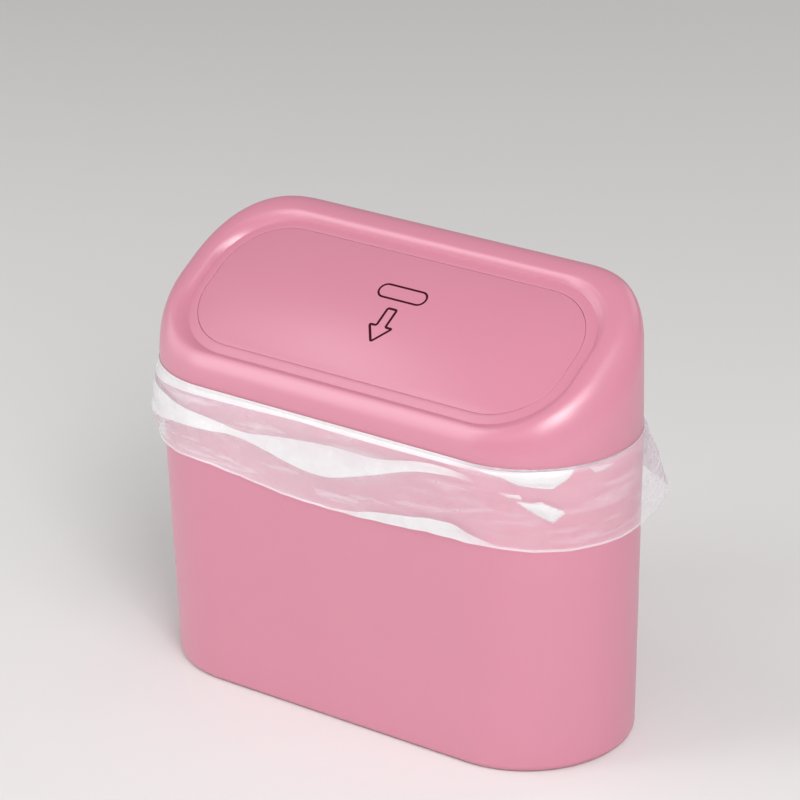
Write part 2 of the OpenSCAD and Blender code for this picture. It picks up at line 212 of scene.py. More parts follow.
def makeHood():
    steps = hood["arcSteps"], hood["sideSteps"]
    edge, shell, drop, valley = hood["edge"], hood["shell"], hood["ledgeDrop"], hood["valley"]
    ledge, bank, tight = hood["ledge"], hood["bank"], hood["crestTight"]
    rim, foot = bucket["rim"], edge + hood["skirt"]
    crest = slopeRing(ledge + bank, drop, steps, tight)
    under = slopeRing(ledge + bank - hood["crestUnder"], drop - shell, steps, tight)
    rings = [atHeight(oval(rim, inset, *steps), edge + up) for inset, up in hood["skirtEdge"]]
    for k in range(hood["shoulderSteps"] + 1):
        rings.append(shoulderRing(90 * k / hood["shoulderSteps"], 0, crest, 0, foot, steps))
    # the bank leaves the crest level and meets the ledge in a crease
    for k in range(1, hood["bankSteps"] + 1):
        t = k / hood["bankSteps"]
        fall = drop - (drop + valley) * t ** hood["bankBend"]
        rings.append(slopeRing(ledge + bank * (1 - t), fall, steps, tight * (1 - t)))
    # the ledge slopes up to the mouth
    for t in (0.85, 0.6, 0.35):
        rings.append(slopeRing(ledge * t, -valley * (t - 0.1), steps))
    mouth, mouthEdge = hood["mouthGap"], hood["mouthEdge"]
    for k in range(hood["mouthSteps"] + 1):
        a = math.radians(90 * k / hood["mouthSteps"])
        rings.append(slopeRing(mouth + mouthEdge * (1 - math.sin(a)), -mouthEdge * (1 - math.cos(a)), steps))
    for grow, n in ((mouth, -shell), (ledge - 1, -shell), (ledge + 0.6, -shell - 0.1)):
        rings.append(slopeRing(grow, n, steps))
    thick = shell / math.cos(slope)
    for k in range(hood["underSteps"], -1, -1):
        rings.append(shoulderRing(90 * k / hood["underSteps"], shell, under, thick, foot - 0.6, steps))
    outside, soft, bottom = hood["collarIn"], hood["collarEdge"], edge - hood["collarLength"]
    inside = outside + hood["collarWall"]
    for inset, z in ((inside, edge - soft), (inside, bottom + soft), (inside - soft, bottom),
                     (outside + soft, bottom), (outside, bottom + soft), (outside, edge)):
        rings.append(atHeight(oval(rim, inset, *steps), z))
    return loft("hoodShell", rings, closed=True, sharp=32)


# Camera from the photograph's view

def makeCamera():
    shot = {"azimuth": 37.39, "elevation": 23.10, "roll": -1.36, "distance": 1499.28,
            "lens": 166.9, "aim": (0, 0, 100), "shiftRight": -0.96, "shiftUp": -24.53}
    a, e, roll = (math.radians(shot[k]) for k in ("azimuth", "elevation", "roll"))
    right = Vector((math.cos(a), math.sin(a), 0))
    ahead = Vector((-math.sin(a) * math.cos(e), math.cos(a) * math.cos(e), -math.sin(e)))
    up = right.cross(ahead)
    x = right * math.cos(roll) + up * math.sin(roll)
    y = up * math.cos(roll) - right * math.sin(roll)
    place = Vector(shot["aim"]) - ahead * shot["distance"] - x * shot["shiftRight"] - y * shot["shiftUp"]
    data = bpy.data.cameras.new("camera")
    data.sensor_width = 36
    data.lens = shot["lens"]
    data.clip_end = 20
    camera = bpy.data.objects.new("camera", data)
    camera.matrix_world = Matrix((x, y, -ahead)).transposed().to_4x4()
    camera.location = place * mm
    scene.collection.objects.link(camera)
    scene.camera = camera


# Floor, world and lights: a pale table under soft studio light

def makeStudio():
    studio = {"floor": (0.80, 0.79, 0.785), "floorRough": 0.7, "floorSize": 6.0,
              "world": (1.0, 0.99, 0.985), "worldStrength": 0.32}
    half = studio["floorSize"] / 2 / mm
    corners = [(-half, -half, 0), (half, -half, 0), (half, half, 0), (-half, half, 0)]
    floor = meshObject("floor", corners, [(0, 1, 2, 3)])
    paper = bpy.data.materials.new("paleFloor")
    paper.use_nodes = True
    shader = paper.node_tree.nodes["Principled BSDF"]
    shader.inputs["Base Color"].default_value = (*studio["floor"], 1)
    shader.inputs["Roughness"].default_value = studio["floorRough"]
    floor.data.materials.append(paper)
    world = bpy.data.worlds.new("softRoom")
    world.use_nodes = True
    sky = world.node_tree.nodes["Background"]
    sky.inputs["Color"].default_value = (*studio["world"], 1)
    sky.inputs["Strength"].default_value = studio["worldStrength"]
    scene.world = world
    scene.view_settings.view_transform = "Standard"
    softBox("keyLight", (-0.91, -1.12, 0.85), 0.7, 1.4, 9.2)
    softBox("frontLight", (0.08, -1.44, 0.79), 1.3, 0.4, 1.1)
    softBox("leftLight", (-1.35, -0.35, 0.45), 0.8, 0.8, 2.6)
    softBox("highLight", (-0.78, -0.31, 1.27), 0.3, 0.3, 0.8)
    softBox("cornerLight", (0.87, -0.74, 0.98), 0.42, 0.70, 9.4)
    softBox("streakLight", (0.72, -0.30, 1.30), 0.4, 0.7, 3)
    softBox("rightLight", (1.3, -0.15, 0.6), 1.3, 1.3, 4, mirrored=False)
    softBox("backLight", (0.3, 1.5, 0.9), 1.0, 1.0, 2.4)


def softBox(name, place, width, depth, power, mirrored=True):
    # an oblong light that faces the bin; unless mirrored, it leaves no highlight of its own
    light = bpy.data.lights.new(name, "AREA")
    light.shape = "RECTANGLE"
    light.size, light.size_y = width, depth
    light.energy = power
    obj = bpy.data.objects.new(name, light)
    obj.location = place
    obj.visible_glossy = mirrored
    obj.rotation_euler = (Vector((0, 0, 0.1)) - Vector(place)).to_track_quat("-Z", "Y").to_euler()
    scene.collection.objects.link(obj)


# Materials

def newGroup(name, inputs, outputs):
    group = bpy.data.node_groups.new(name, "ShaderNodeTree")
    for label, kind, value in inputs:
        socket = group.interface.new_socket(label, in_out="INPUT", socket_type=kind)
        if value is not None:
            socket.default_value = value
    for label, kind in outputs:
        group.interface.new_socket(label, in_out="OUTPUT", socket_type=kind)
    return group, group.nodes.new("NodeGroupInput"), group.nodes.new("NodeGroupOutput")


def newMaterial(name):
    material = bpy.data.materials.new(name)
    material.use_nodes = True
    return material, material.node_tree, material.node_tree.nodes["Principled BSDF"]


def calc(tree, kind, *values):
    node = tree.nodes.new("ShaderNodeMath")
    node.operation = kind
    for socket, value in zip(node.inputs, values):
        if isinstance(value, bpy.types.NodeSocket):
            tree.links.new(value, socket)
        else:
            socket.default_value = value
    return node.outputs[0]


def noise(tree, vector, scale, detail):
    node = tree.nodes.new("ShaderNodeTexNoise")
    node.inputs["Detail"].default_value = detail
    for value, socket in ((vector, node.inputs["Vector"]), (scale, node.inputs["Scale"])):
        if isinstance(value, bpy.types.NodeSocket):
            tree.links.new(value, socket)
        else:
            socket.default_value = value
    return node.outputs["Fac"]


def blendColour(tree, share, dark, light):
    node = tree.nodes.new("ShaderNodeMix")
    node.data_type = "RGBA"
    node.inputs["A"].default_value = (*dark, 1)
    node.inputs["B"].default_value = (*light, 1)
    tree.links.new(share, node.inputs["Factor"])
    return node.outputs["Result"]


def relief(tree, shader, height, strength, distance):
    node = tree.nodes.new("ShaderNodeBump")
    node.inputs["Strength"].default_value = strength
    node.inputs["Distance"].default_value = distance
    tree.links.new(height, node.inputs["Height"])
    tree.links.new(node.outputs["Normal"], shader.inputs["Normal"])


def makeSurfaceGrain():
    # fine etched grain with broad uneven patches, shared by plastic, steel and ink
    group, ins, outs = newGroup(
        "surfaceGrain",
        [("Vector", "NodeSocketVector", None), ("Grain Scale", "NodeSocketFloat", 1800.0),
         ("Patch Scale", "NodeSocketFloat", 18.0)],
        [("Height", "NodeSocketFloat"), ("Patch", "NodeSocketFloat")])
    fine = noise(group, ins.outputs["Vector"], ins.outputs["Grain Scale"], 2)
    broad = noise(group, ins.outputs["Vector"], ins.outputs["Patch Scale"], 3)
    group.links.new(fine, outs.inputs["Height"])
    group.links.new(broad, outs.inputs["Patch"])
    return group


surfaceGrain = makeSurfaceGrain()


def grained(name, look):
    material, tree, shader = newMaterial(name)
    place = tree.nodes.new("ShaderNodeTexCoord")
    grain = tree.nodes.new("ShaderNodeGroup")
    grain.node_tree = surfaceGrain
    grain.inputs["Grain Scale"].default_value = look["grain"]
    grain.inputs["Patch Scale"].default_value = look["patch"]
    tree.links.new(place.outputs["Object"], grain.inputs["Vector"])
    colour = blendColour(tree, grain.outputs["Patch"], look["dark"], look["light"])
    tree.links.new(colour, shader.inputs["Base Color"])
    rough = calc(tree, "MULTIPLY_ADD", grain.outputs["Patch"], 0.10, look["rough"] - 0.05)
    tree.links.new(rough, shader.inputs["Roughness"])
    shader.inputs["Metallic"].default_value = look.get("metal", 0)
    shader.inputs["Specular IOR Level"].default_value = look.get("gloss", 0.5)
    relief(tree, shader, grain.outputs["Height"], look["bump"], 0.0002)
    return material


pinkPlastic = grained("pinkPlastic", {
    "light": (0.642, 0.234, 0.328), "dark": (0.619, 0.218, 0.309), "rough": 0.315,
    "grain": 900.0, "patch": 18.0, "bump": 0.06, "gloss": 1.0})
springSteel = grained("springSteel", {
    "light": (0.62, 0.62, 0.60), "dark": (0.50, 0.50, 0.49), "rough": 0.30,
    "grain": 5000.0, "patch": 60.0, "bump": 0.2, "metal": 1.0})
markInk = grained("markInk", {
    "light": (0.060, 0.003, 0.016), "dark": (0.045, 0.002, 0.011), "rough": 0.62,
    "grain": 3000.0, "patch": 90.0, "bump": 0.15, "gloss": 0.1})


def makeFilm():
    # thin cloudy bag film: how much it hides comes from the attributes that the bag's folds carry; their
    # whiteness is partly painted highlight
    look = {"colour": (0.77, 0.76, 0.77), "shade": (0.86, 0.81, 0.865), "rough": 0.20, "roughSpread": 0.12,
            "crinkle": 11.0, "fine": 34.0, "fineShare": 0.15, "flatInside": 0.25, "turn": 0.35,
            "stretch": (0.55, 1.3, 1), "bump": 0.30, "bumpDepth": 0.0012, "cloud": 9.0, "inShadow": 0.25,
            "wisp": (3.0, 20.0, 1.0), "wispTurn": 0.10, "wispFrom": 0.52, "wispTo": 0.74, "wispShow": 0.5,
            "wispGain": 2.0, "most": 0.97}
    material, tree, shader = newMaterial("bagFilm")
    link = tree.links.new
    uv = tree.nodes.new("ShaderNodeUVMap")
    uv.uv_map = "unrolled"
    veil, white, crumple = (tree.nodes.new("ShaderNodeAttribute") for number in range(3))
    veil.attribute_name, white.attribute_name, crumple.attribute_name = "veil", "white", "crumple"
    cloud = noise(tree, uv.outputs["UV"], look["cloud"], 2)

    # crinkles: coarse and fine creases, which fade where the film is drawn smooth
    bent = tree.nodes.new("ShaderNodeMapping")
    bent.inputs["Rotation"].default_value = (0, 0, look["turn"])
    bent.inputs["Scale"].default_value = look["stretch"]
    link(uv.outputs["UV"], bent.inputs["Vector"])
    folds = []
    for scale in (look["crinkle"], look["fine"]):
        cells = tree.nodes.new("ShaderNodeTexVoronoi")
        cells.feature = "DISTANCE_TO_EDGE"
        cells.inputs["Scale"].default_value = scale
        link(bent.outputs["Vector"], cells.inputs["Vector"])
        folds.append(calc(tree, "MINIMUM", cells.outputs["Distance"], look["flatInside"]))
    creases = calc(tree, "MULTIPLY_ADD", folds[1], look["fineShare"], folds[0])
    height = calc(tree, "MULTIPLY", creases, crumple.outputs["Fac"])
    # base colour goes from the film's tint to white with the whiteness, which is folded film and painted
    # highlight
    link(blendColour(tree, white.outputs["Fac"], look["shade"], look["colour"]), shader.inputs["Base Color"])

    # opacity: a cloudy veil with drawn-out wisps, or the whiteness of the folds and of the painted highlights
    # where that is more
    uneven = calc(tree, "MULTIPLY_ADD", cloud, 0.5, 0.75)
    thin = calc(tree, "MULTIPLY", veil.outputs["Fac"], uneven)
    streak = tree.nodes.new("ShaderNodeMapping")
    streak.inputs["Rotation"].default_value = (0, 0, look["wispTurn"])
    streak.inputs["Scale"].default_value = look["wisp"]
    link(uv.outputs["UV"], streak.inputs["Vector"])
    wisp = tree.nodes.new("ShaderNodeMapRange")
    wisp.inputs["From Min"].default_value = look["wispFrom"]
    wisp.inputs["From Max"].default_value = look["wispTo"]
    wisp.inputs["To Max"].default_value = look["wispShow"]
    link(noise(tree, streak.outputs["Vector"], 1.0, 4), wisp.inputs["Value"])
    strength = calc(tree, "MULTIPLY", veil.outputs["Fac"], look["wispGain"])
    cloudy = calc(tree, "ADD", thin, calc(tree, "MULTIPLY", wisp.outputs["Result"], strength))
    ragged = calc(tree, "MULTIPLY_ADD", cloud, 0.25, 0.80)
    solid = calc(tree, "MULTIPLY", white.outputs["Fac"], ragged)
    alpha = calc(tree, "MINIMUM", calc(tree, "MAXIMUM", cloudy, solid), look["most"])
    path = tree.nodes.new("ShaderNodeLightPath")
    lets = calc(tree, "MULTIPLY_ADD", path.outputs["Is Shadow Ray"], look["inShadow"] - 1, 1)
    link(calc(tree, "MULTIPLY", alpha, lets), shader.inputs["Alpha"])
    link(calc(tree, "MULTIPLY_ADD", cloud, look["roughSpread"], look["rough"]), shader.inputs["Roughness"])
    relief(tree, shader, height, look["bump"], look["bumpDepth"])
    return material


bagFilm = makeFilm()


def dress(obj, material, body, slot, *replaced):
    # body is None for a piece that is attached to no body
    obj.data.materials.clear()
    obj.data.materials.append(material)
    if body:
        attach(obj, body)
    if replaced:
        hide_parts(*replaced)


# Solid helpers: profiles pushed along an axis, joined pieces, rounded edges

def prism(profile, low, high, place):
    # profile points (a, b) carried from low to high, each put in space by place(a, b, c)
    count = len(profile)
    points = [place(a, b, c) for c in (low, high) for a, b in profile]
    faces = [(i, (i + 1) % count, count + (i + 1) % count, count + i) for i in range(count)]
    faces += [tuple(range(count - 1, -1, -1)), tuple(range(count, 2 * count))]
    return np.array(points, float).reshape(-1, 3), faces


def slopePlace(v, n, u):
    return onSlope(np.float64(u), np.float64(v), np.float64(n))


def arc(cx, cy, radius, start, end, steps):
    angles = [math.radians(start + (end - start) * k / steps) for k in range(steps + 1)]
    return [(cx + radius * math.cos(a), cy + radius * math.sin(a)) for a in angles]


def joined(obj, others):
    bm = bmesh.new()
    for each in [obj] + others:
        bm.from_mesh(each.data)
    bm.to_mesh(obj.data)
    bm.free()
    for each in others:
        bpy.data.objects.remove(each)
    return obj


def rounded(obj, width, segments=2, angle=38, sharp=40):
    bevel = obj.modifiers.new("edges", "BEVEL")
    bevel.width = width * mm
    bevel.segments = segments
    bevel.limit_method = "ANGLE"
    bevel.angle_limit = math.radians(angle)
    bakeModifiers(obj)
    smooth(obj.data, sharp)
    return obj


def bakeModifiers(obj):
    bpy.context.view_layer.update()
    mesh = bpy.data.meshes.new_from_object(obj.evaluated_get(bpy.context.evaluated_depsgraph_get()))
    obj.modifiers.clear()
    obj.data = mesh


def mergedCopy(name, node):
    mesh = nodes[node].data.copy()
    mesh.name = name
    bm = bmesh.new()
    bm.from_mesh(mesh)
    bmesh.ops.remove_doubles(bm, verts=bm.verts, dist=2e-6)
    bmesh.ops.dissolve_limit(bm, angle_limit=math.radians(0.6), verts=bm.verts, edges=bm.edges)
    bm.to_mesh(mesh)
    bm.free()
    obj = bpy.data.objects.new(name, mesh)
    scene.collection.objects.link(obj)
    return obj


# Rails on the bucket's back, and hinge lugs and rod under the hood

hinge = {"v": flap["depth"] / 2 - flap["hingeIn"], "rod": 1.5, "lugX": 64.0, "length": 134.0}


def makeRail(x):
    rail = {"stem": 4.0, "reach": 2.0, "head": 9.0, "thick": 2.0, "low": 88.15, "high": 114.5}
    back = bucket["depth"] / 2
    half, wide = rail["stem"] / 2, rail["head"] / 2
    front, mid = back - bucket["wall"] / 2, back + rail["reach"]
    end = mid + rail["thick"]
    profile = [(x - half, front), (x + half, front), (x + half, mid), (x + wide, mid),
               (x + wide, end), (x - wide, end), (x - wide, mid), (x - half, mid)]
    points, faces = prism(profile, rail["low"], rail["high"], lambda a, b, c: (a, b, c))
    return rounded(meshObject("rail", points, faces), 0.3)


def makeLug(x):
    lug = {"width": 4.0, "eye": 3.26, "under": 0.4}
    v, n, eye = hinge["v"], -flap["hingeDeep"], lug["eye"]
    rear, ledge, shell = flap["depth"] / 2 + flap["gap"], hood["ledge"], hood["shell"]
    low, high = n - eye, -flap["thick"] - lug["under"]
    profile = arc(v, n, eye, 90, 270, 14)
    profile += [(rear + lug["under"], low), (rear + ledge, -shell - 0.6), (rear + ledge, -shell / 2),
                (rear + lug["under"], -shell / 2), (rear + lug["under"], high), (v + 1.2, high)]
    points, faces = prism(profile, x - lug["width"] / 2, x + lug["width"] / 2, slopePlace)
    return rounded(meshObject("lug", points, faces), 0.3)


def makeRod():
    rod = {"sides": 32, "chamfer": 0.35, "chamferLong": 0.3}
    radius, half, sides = hinge["rod"], hinge["length"] / 2, rod["sides"]
    tip, shoulder = radius - rod["chamfer"], half - rod["chamferLong"]
    a = np.radians(np.arange(sides) * 360 / sides)
    v, n = hinge["v"], -flap["hingeDeep"]
    rings = []
    for x, r in ((-half, tip), (-shoulder, radius), (shoulder, radius), (half, tip)):
        rings.append(onSlope(np.full(sides, x), v + r * np.cos(a), n + r * np.sin(a)))
    return loft("hingePin", rings, sharp=30)


# Wire and ink strokes: a round section carried along each path by Geometry Nodes

def makeWireTree():
    tree = bpy.data.node_groups.new("wireAlongPath", "GeometryNodeTree")
    tree.interface.new_socket("Geometry", in_out="INPUT", socket_type="NodeSocketGeometry")
    for label, kind in (("Radius", "NodeSocketFloat"), ("Sides", "NodeSocketInt"),
                        ("Material", "NodeSocketMaterial")):
        tree.interface.new_socket(label, in_out="INPUT", socket_type=kind)
    tree.interface.new_socket("Geometry", in_out="OUTPUT", socket_type="NodeSocketGeometry")
    ins, outs = tree.nodes.new("NodeGroupInput"), tree.nodes.new("NodeGroupOutput")
    path = tree.nodes.new("GeometryNodeMeshToCurve")
    ring = tree.nodes.new("GeometryNodeCurvePrimitiveCircle")
    tube = tree.nodes.new("GeometryNodeCurveToMesh")
    tube.inputs["Fill Caps"].default_value = True
    real = tree.nodes.new("GeometryNodeRealizeInstances")
    finish = tree.nodes.new("GeometryNodeSetMaterial")
    link = tree.links.new
    link(ins.outputs["Geometry"], path.inputs["Mesh"])
    link(ins.outputs["Sides"], ring.inputs["Resolution"])
    link(ins.outputs["Radius"], ring.inputs["Radius"])
    link(path.outputs["Curve"], tube.inputs["Curve"])
    link(ring.outputs["Curve"], tube.inputs["Profile Curve"])
    link(tube.outputs["Mesh"], real.inputs["Geometry"])
    link(real.outputs["Geometry"], finish.inputs["Geometry"])
    link(ins.outputs["Material"], finish.inputs["Material"])
    link(finish.outputs["Geometry"], outs.inputs["Geometry"])
    return tree


wireTree = makeWireTree()


def wires(name, paths, radius, sides, material):
    # paths are lists of points in mm; a path whose last point is its first one is closed
    points, edges = [], []
    for path in paths:
        path = [tuple(p) for p in path]
        closed = path[0] == path[-1]
        body = path[:-1] if closed else path
        first = len(points)
        points += body
        edges += [(first + i, first + i + 1) for i in range(len(body) - 1)]
        if closed:
            edges.append((first + len(body) - 1, first))
    mesh = bpy.data.meshes.new(name)
    mesh.from_pydata([tuple(c * mm for c in p) for p in points], edges, [])
    obj = bpy.data.objects.new(name, mesh)
    scene.collection.objects.link(obj)
    modifier = obj.modifiers.new("wire", "NODES")
    modifier.node_group = wireTree
    values = {"Radius": radius * mm, "Sides": sides, "Material": material}
    for item in wireTree.interface.items_tree:
        if item.in_out == "INPUT" and item.name in values:
            modifier[item.identifier] = values[item.name]
    bakeModifiers(obj)
    smooth(obj.data, 50)
    return obj


def makeSpring():
    spring = {"wire": 0.4, "sides": 12, "turns": 7, "pitch": 0.95, "coil": 2.4, "perTurn": 24, "start": 53.8,
              "rearLeg": 12.5, "rearLift": 4.0, "frontLeg": 18.0, "frontLift": 3.0}
    rear = 90 + spring["rearLift"]
    turn = 360 * spring["turns"] - spring["rearLift"] - spring["frontLift"]
    count = spring["turns"] * spring["perTurn"]
    length = spring["turns"] * spring["pitch"]
    k = np.arange(count + 1) / count
    a = np.radians(rear + turn * k)
    radius = spring["coil"]
    coil = np.column_stack([spring["start"] - length * k, radius * np.cos(a), radius * np.sin(a)])
    lift, dip = math.radians(spring["rearLift"]), math.radians(spring["frontLift"])
    first = coil[0] + np.array([0, spring["rearLeg"] * math.cos(lift), spring["rearLeg"] * math.sin(lift)])
    last = coil[-1] + np.array([0, -spring["frontLeg"] * math.cos(dip), spring["frontLeg"] * math.sin(dip)])
    path = np.vstack([[first], coil, [last]])
    path = onSlope(path[:, 0], hinge["v"] + path[:, 1], -flap["hingeDeep"] + path[:, 2])
    obj = wires("returnSpring", [path], spring["wire"], spring["sides"], springSteel)
    middle = onSlope(np.float64(0), np.float64(hinge["v"]), np.float64(-flap["hingeDeep"])) * mm
    start, end = spring["start"] * mm, (spring["start"] - length) * mm
    return obj, (start, middle[1], middle[2]), (end, middle[1], middle[2])


# Mark on the flap: a plain oval over an arrow to the flap's front edge, in raised ink

def softCorners(corners, cut):
    # closed outline with each corner rounded off, starting cut mm before it
    path = []
    for i, corner in enumerate(corners):
        three = corner, corners[i - 1], corners[(i + 1) % len(corners)]
        here, before, after = (np.array(point, float) for point in three)
        start = here + (before - here) * cut / np.linalg.norm(before - here)
        end = here + (after - here) * cut / np.linalg.norm(after - here)
        for t in (0, 0.25, 0.5, 0.75, 1):
            path.append(tuple(start * (1 - t) ** 2 + here * 2 * t * (1 - t) + end * t * t))
    return path + path[:1]


def makeMark():
    mark = {"ovalWide": 23.0, "ovalTall": 6.6, "ovalAt": 12.6, "ovalStroke": 0.48,
            "shaft": 4.4, "head": 11.0, "top": 4.6, "neck": -4.6, "tip": -12.6, "corner": 0.9,
            "arrowStroke": 0.56, "sides": 8, "flat": 0.10, "above": 0.03}
    radius = mark["ovalTall"] / 2
    end = mark["ovalWide"] / 2 - radius
    oval = arc(end, mark["ovalAt"], radius, 90, -90, 12) + arc(-end, mark["ovalAt"], radius, 270, 90, 12)
    oval.append(oval[0])
    half, wing, neck = mark["shaft"] / 2, mark["head"] / 2, mark["neck"]
    arrow = softCorners([(-half, mark["top"]), (half, mark["top"]), (half, neck), (wing, neck),
                         (0, mark["tip"]), (-wing, neck), (-half, neck)], mark["corner"])
    strokes = []
    for name, path, stroke in (("flapMark", oval, "ovalStroke"), ("arrow", arrow, "arrowStroke")):
        strokes.append(wires(name, [[(u, v, 0) for u, v in path]], mark[stroke], mark["sides"], markInk))
    obj = joined(strokes[0], strokes[1:])
    smooth(obj.data, 50)
    co = np.zeros(len(obj.data.vertices) * 3)
    obj.data.vertices.foreach_get("co", co)
    u, v, n = (co.reshape(-1, 3) / mm).T
    placed = onSlope(u, v, n * mark["flat"] + mark["above"]) * mm
    obj.data.vertices.foreach_set("co", placed.ravel())
    obj.data.update()
    return obj


# Bag: one film, from the bucket's floor up its inside, over the rim and down outside as the cuff.
# Along the rim s runs from the front's middle to the right; d is how far below the rim a point hangs.

bag = {
    # stand off the wall and on the rim, thickness, and how far apart the columns are
    "offWall": 0.62, "over": 0.42, "inside": 2.4, "film": 0.12,
    "frontStep": 0.65, "backStep": 2.4, "fineFrom": -118, "fineTo": 190, "rows": (5, 7, 10, 22, 5),
    # rolled lip under the hood's edge: (out, up) of its rows, and how far it stands up along the rim
    "bead": [(0.14, 0.70), (0.16, 1.30), (0.34, 1.52), (0.56, 1.36), (0.68, 0.9)], "beadLow": 0.62,
    "beadStand": [(-270, 0.3), (-130, 1), (60, 1), (85, 0.8), (270, 0.6)],
    "beadClear": (0.15, 0.3, 0.75, 1, 1),
    # painted highlight specks along the lip: how white they are along the rim
    "beadWhite": [(-270, 0.2), (-130, 0.4), (60, 0.4), (105, 0.32), (120, 0.16), (270, 0.12)],
    # depths of the hem and of the fold lines down the cuff
    "hem": [(-270, 35), (-200, 34), (-150, 33), (-100, 31.5), (-62, 31), (-34, 34), (-16, 35.5), (20, 35.5),
            (47, 33), (76, 32), (101, 34), (127, 34.5), (148, 37), (175, 38), (215, 35), (270, 35)],
    "strip": [(-270, 3), (-130, 4.4), (-110, 5), (-97, 4.2), (-75, 2.6), (-60, 2.4), (-32, 1.8), (-14, 1.2),
              (4, 1.8), (30, 1.8), (70, 1.4), (270, 2.4)],
    "foldTop": [(-270, 9), (-130, 7.6), (-93, 8.4), (-75, 10), (-60, 11), (-43, 13.4), (-23, 10), (3, 8),
                (26, 8), (45, 3.4), (59, 3), (90, 5), (130, 8), (270, 9)],
    "foldRidge": [(-270, 18), (-130, 22), (-93, 20), (-76, 16.4), (-60, 16), (-45, 14.6), (-33, 17),
                  (-18, 20), (-1, 22), (21, 15.4), (44, 7.4), (68, 5), (90, 10), (130, 16), (270, 18)],
    "hemStrip": [(-270, 0.8), (8, 0.8), (20, 3.4), (34, 4.6), (60, 6.4), (67, 6.0), (74, 0.9), (270, 0.8)],
    "ridgeOut": [(-270, 0.9), (-140, 1.4), (-93, 2.0), (-60, 1.5), (-43, 0.9), (-20, 2.0), (5, 2.1),
                 (35, 1.2), (68, 0.7), (90, 1.2), (140, 1.6), (270, 0.9)],
    # crumpled facets, and how much of them is left where the film is drawn smooth at both ends
    "facets": 420, "facetTilt": 0.06, "facetLift": 0.5, "facetMost": 0.9, "seed": 11,
    "smoothLeft": 108, "smoothRight": 130, "smoothShare": 0.85,
    # lobe at the left end, and the swell and gathers at the back
    "lobe": 2.1, "lobeAt": -110, "lobeWide": 15, "swell": 16, "gather": 1.1, "flareFrom": 62,
    # how cloudy the film is, and how white each strip is at its upper and its lower edge; that whiteness is
    # partly folded film and partly painted highlight
    "insideVeil": 0.22, "insideWhite": 0.05, "hemWhite": 0.7,
    "veil": [(-270, 0.22), (-120, 0.34), (-90, 0.30), (-20, 0.27), (60, 0.17), (110, 0.13), (145, 0.15),
             (165, 0.42), (200, 0.42), (225, 0.22), (270, 0.22)],
    "whites": [([(-270, 0.1), (-150, 0.4), (-110, 0.9), (60, 0.85), (75, 0.35), (270, 0.1)],
                [(-270, 0.05), (-150, 0.3), (-110, 0.8), (-20, 0.7), (60, 0.6), (75, 0.2), (270, 0.05)]),
               ([(-270, 0.05), (-110, 0.3), (0, 0.15), (60, 0.05), (270, 0.05)],
                [(-270, 0.05), (-110, 0.2), (-40, 0.1), (20, 0.5), (40, 0.2), (60, 0.05), (270, 0.05)]),
               ([(-270, 0.1), (-150, 0.3), (-110, 0.95), (-60, 0.95), (-38, 0.85), (-20, 0.75), (30, 0.7),
                 (60, 0.5), (72, 0.05), (270, 0.05)],
                [(-270, 0.1), (-150, 0.3), (-110, 0.85), (-60, 0.9), (-38, 0.8), (-20, 0.95), (30, 0.95),
                 (60, 0.75), (72, 0.05), (270, 0.05)]),
               ([(-270, 0.1), (-150, 0.55), (-120, 0.5), (-80, 0.3), (-40, 0.15), (0, 0.3), (30, 0.35),
                 (60, 0.05), (270, 0.05)],
                [(-270, 0.05), (-120, 0.3), (-80, 0.05), (270, 0.05)]),
               ([(-270, 0.35), (8, 0.45), (14, 0.9), (60, 0.9), (68, 0.7), (74, 0.35), (270, 0.3)],
                [(-270, 0.5), (8, 0.6), (14, 0.9), (60, 0.95), (68, 0.85), (74, 0.5), (270, 0.4)])],
    # small flat patches with a painted highlight on each: whiteness and corners
    "glints": [(0.9, [(68, 0.4), (110, 0.0), (107, 3), (101, 7), (88, 5), (82, 2.4)]),
               (0.9, [(88, 12), (97, 12.2), (106, 17), (101, 21), (96, 18)]),
               (0.6, [(78, 8.4), (89, 8.8), (90, 10.4), (86, 10.6)]),
               (0.45, [(115, 0.2), (126, 1.4), (129, 2.2), (118, 3.4)]),
               (0.35, [(-33, 29), (-18, 32), (-20, 33), (-31, 31)]),
               (0.4, [(3, 25), (17, 26), (27, 26.6), (16, 27.6)]),
               (0.3, [(41, 26.8), (59, 19.8), (78, 14.8), (78, 17), (60, 22.4)]),
               (0.3, [(118, 13), (132, 18), (131, 19), (117, 14.4)])],
}
straight = bucket["width"] / 2 - bucket["depth"] / 2
halfGirth = 2 * straight + math.pi * bucket["depth"] / 2


def along(table, s):
    # softened value at each s; table is the name of one of the bag's tables, or a table itself
    points = np.array(bag[table] if isinstance(table, str) else table, float).T
    return np.mean([np.interp(s + shift, *points) for shift in (-7, -3.5, 0, 3.5, 7)], axis=0)


def rimPlace(s, out, z):
    # a point beside the bucket's wall, out from it along its normal
    t = np.minimum(z / bucket["rim"], 1) - 1
    halfW = (bucket["width"] + bucket["taperWidth"] * t) / 2
    radius = (bucket["depth"] + bucket["taperDepth"] * t) / 2
    turn = np.clip((np.abs(s) - straight) / (bucket["depth"] / 2), 0, math.pi)
    flatX = np.where(np.abs(s) <= straight, np.abs(s), np.where(turn < math.pi, straight, 0))
    rest = np.abs(s) - straight - math.pi * bucket["depth"] / 2
    flatX = np.where(rest > 0, straight - rest, flatX)
    centre = np.where((turn > 0) & (turn < math.pi), halfW - radius, flatX * (halfW - radius) / straight)
    x = centre + (radius + out) * np.sin(turn)
    y = -(radius + out) * np.cos(turn)
    return np.where(s < 0, -x, x), y


def easeStep(t):
    c = np.clip(t, 0, 1)
    return c * c * (3 - 2 * c)


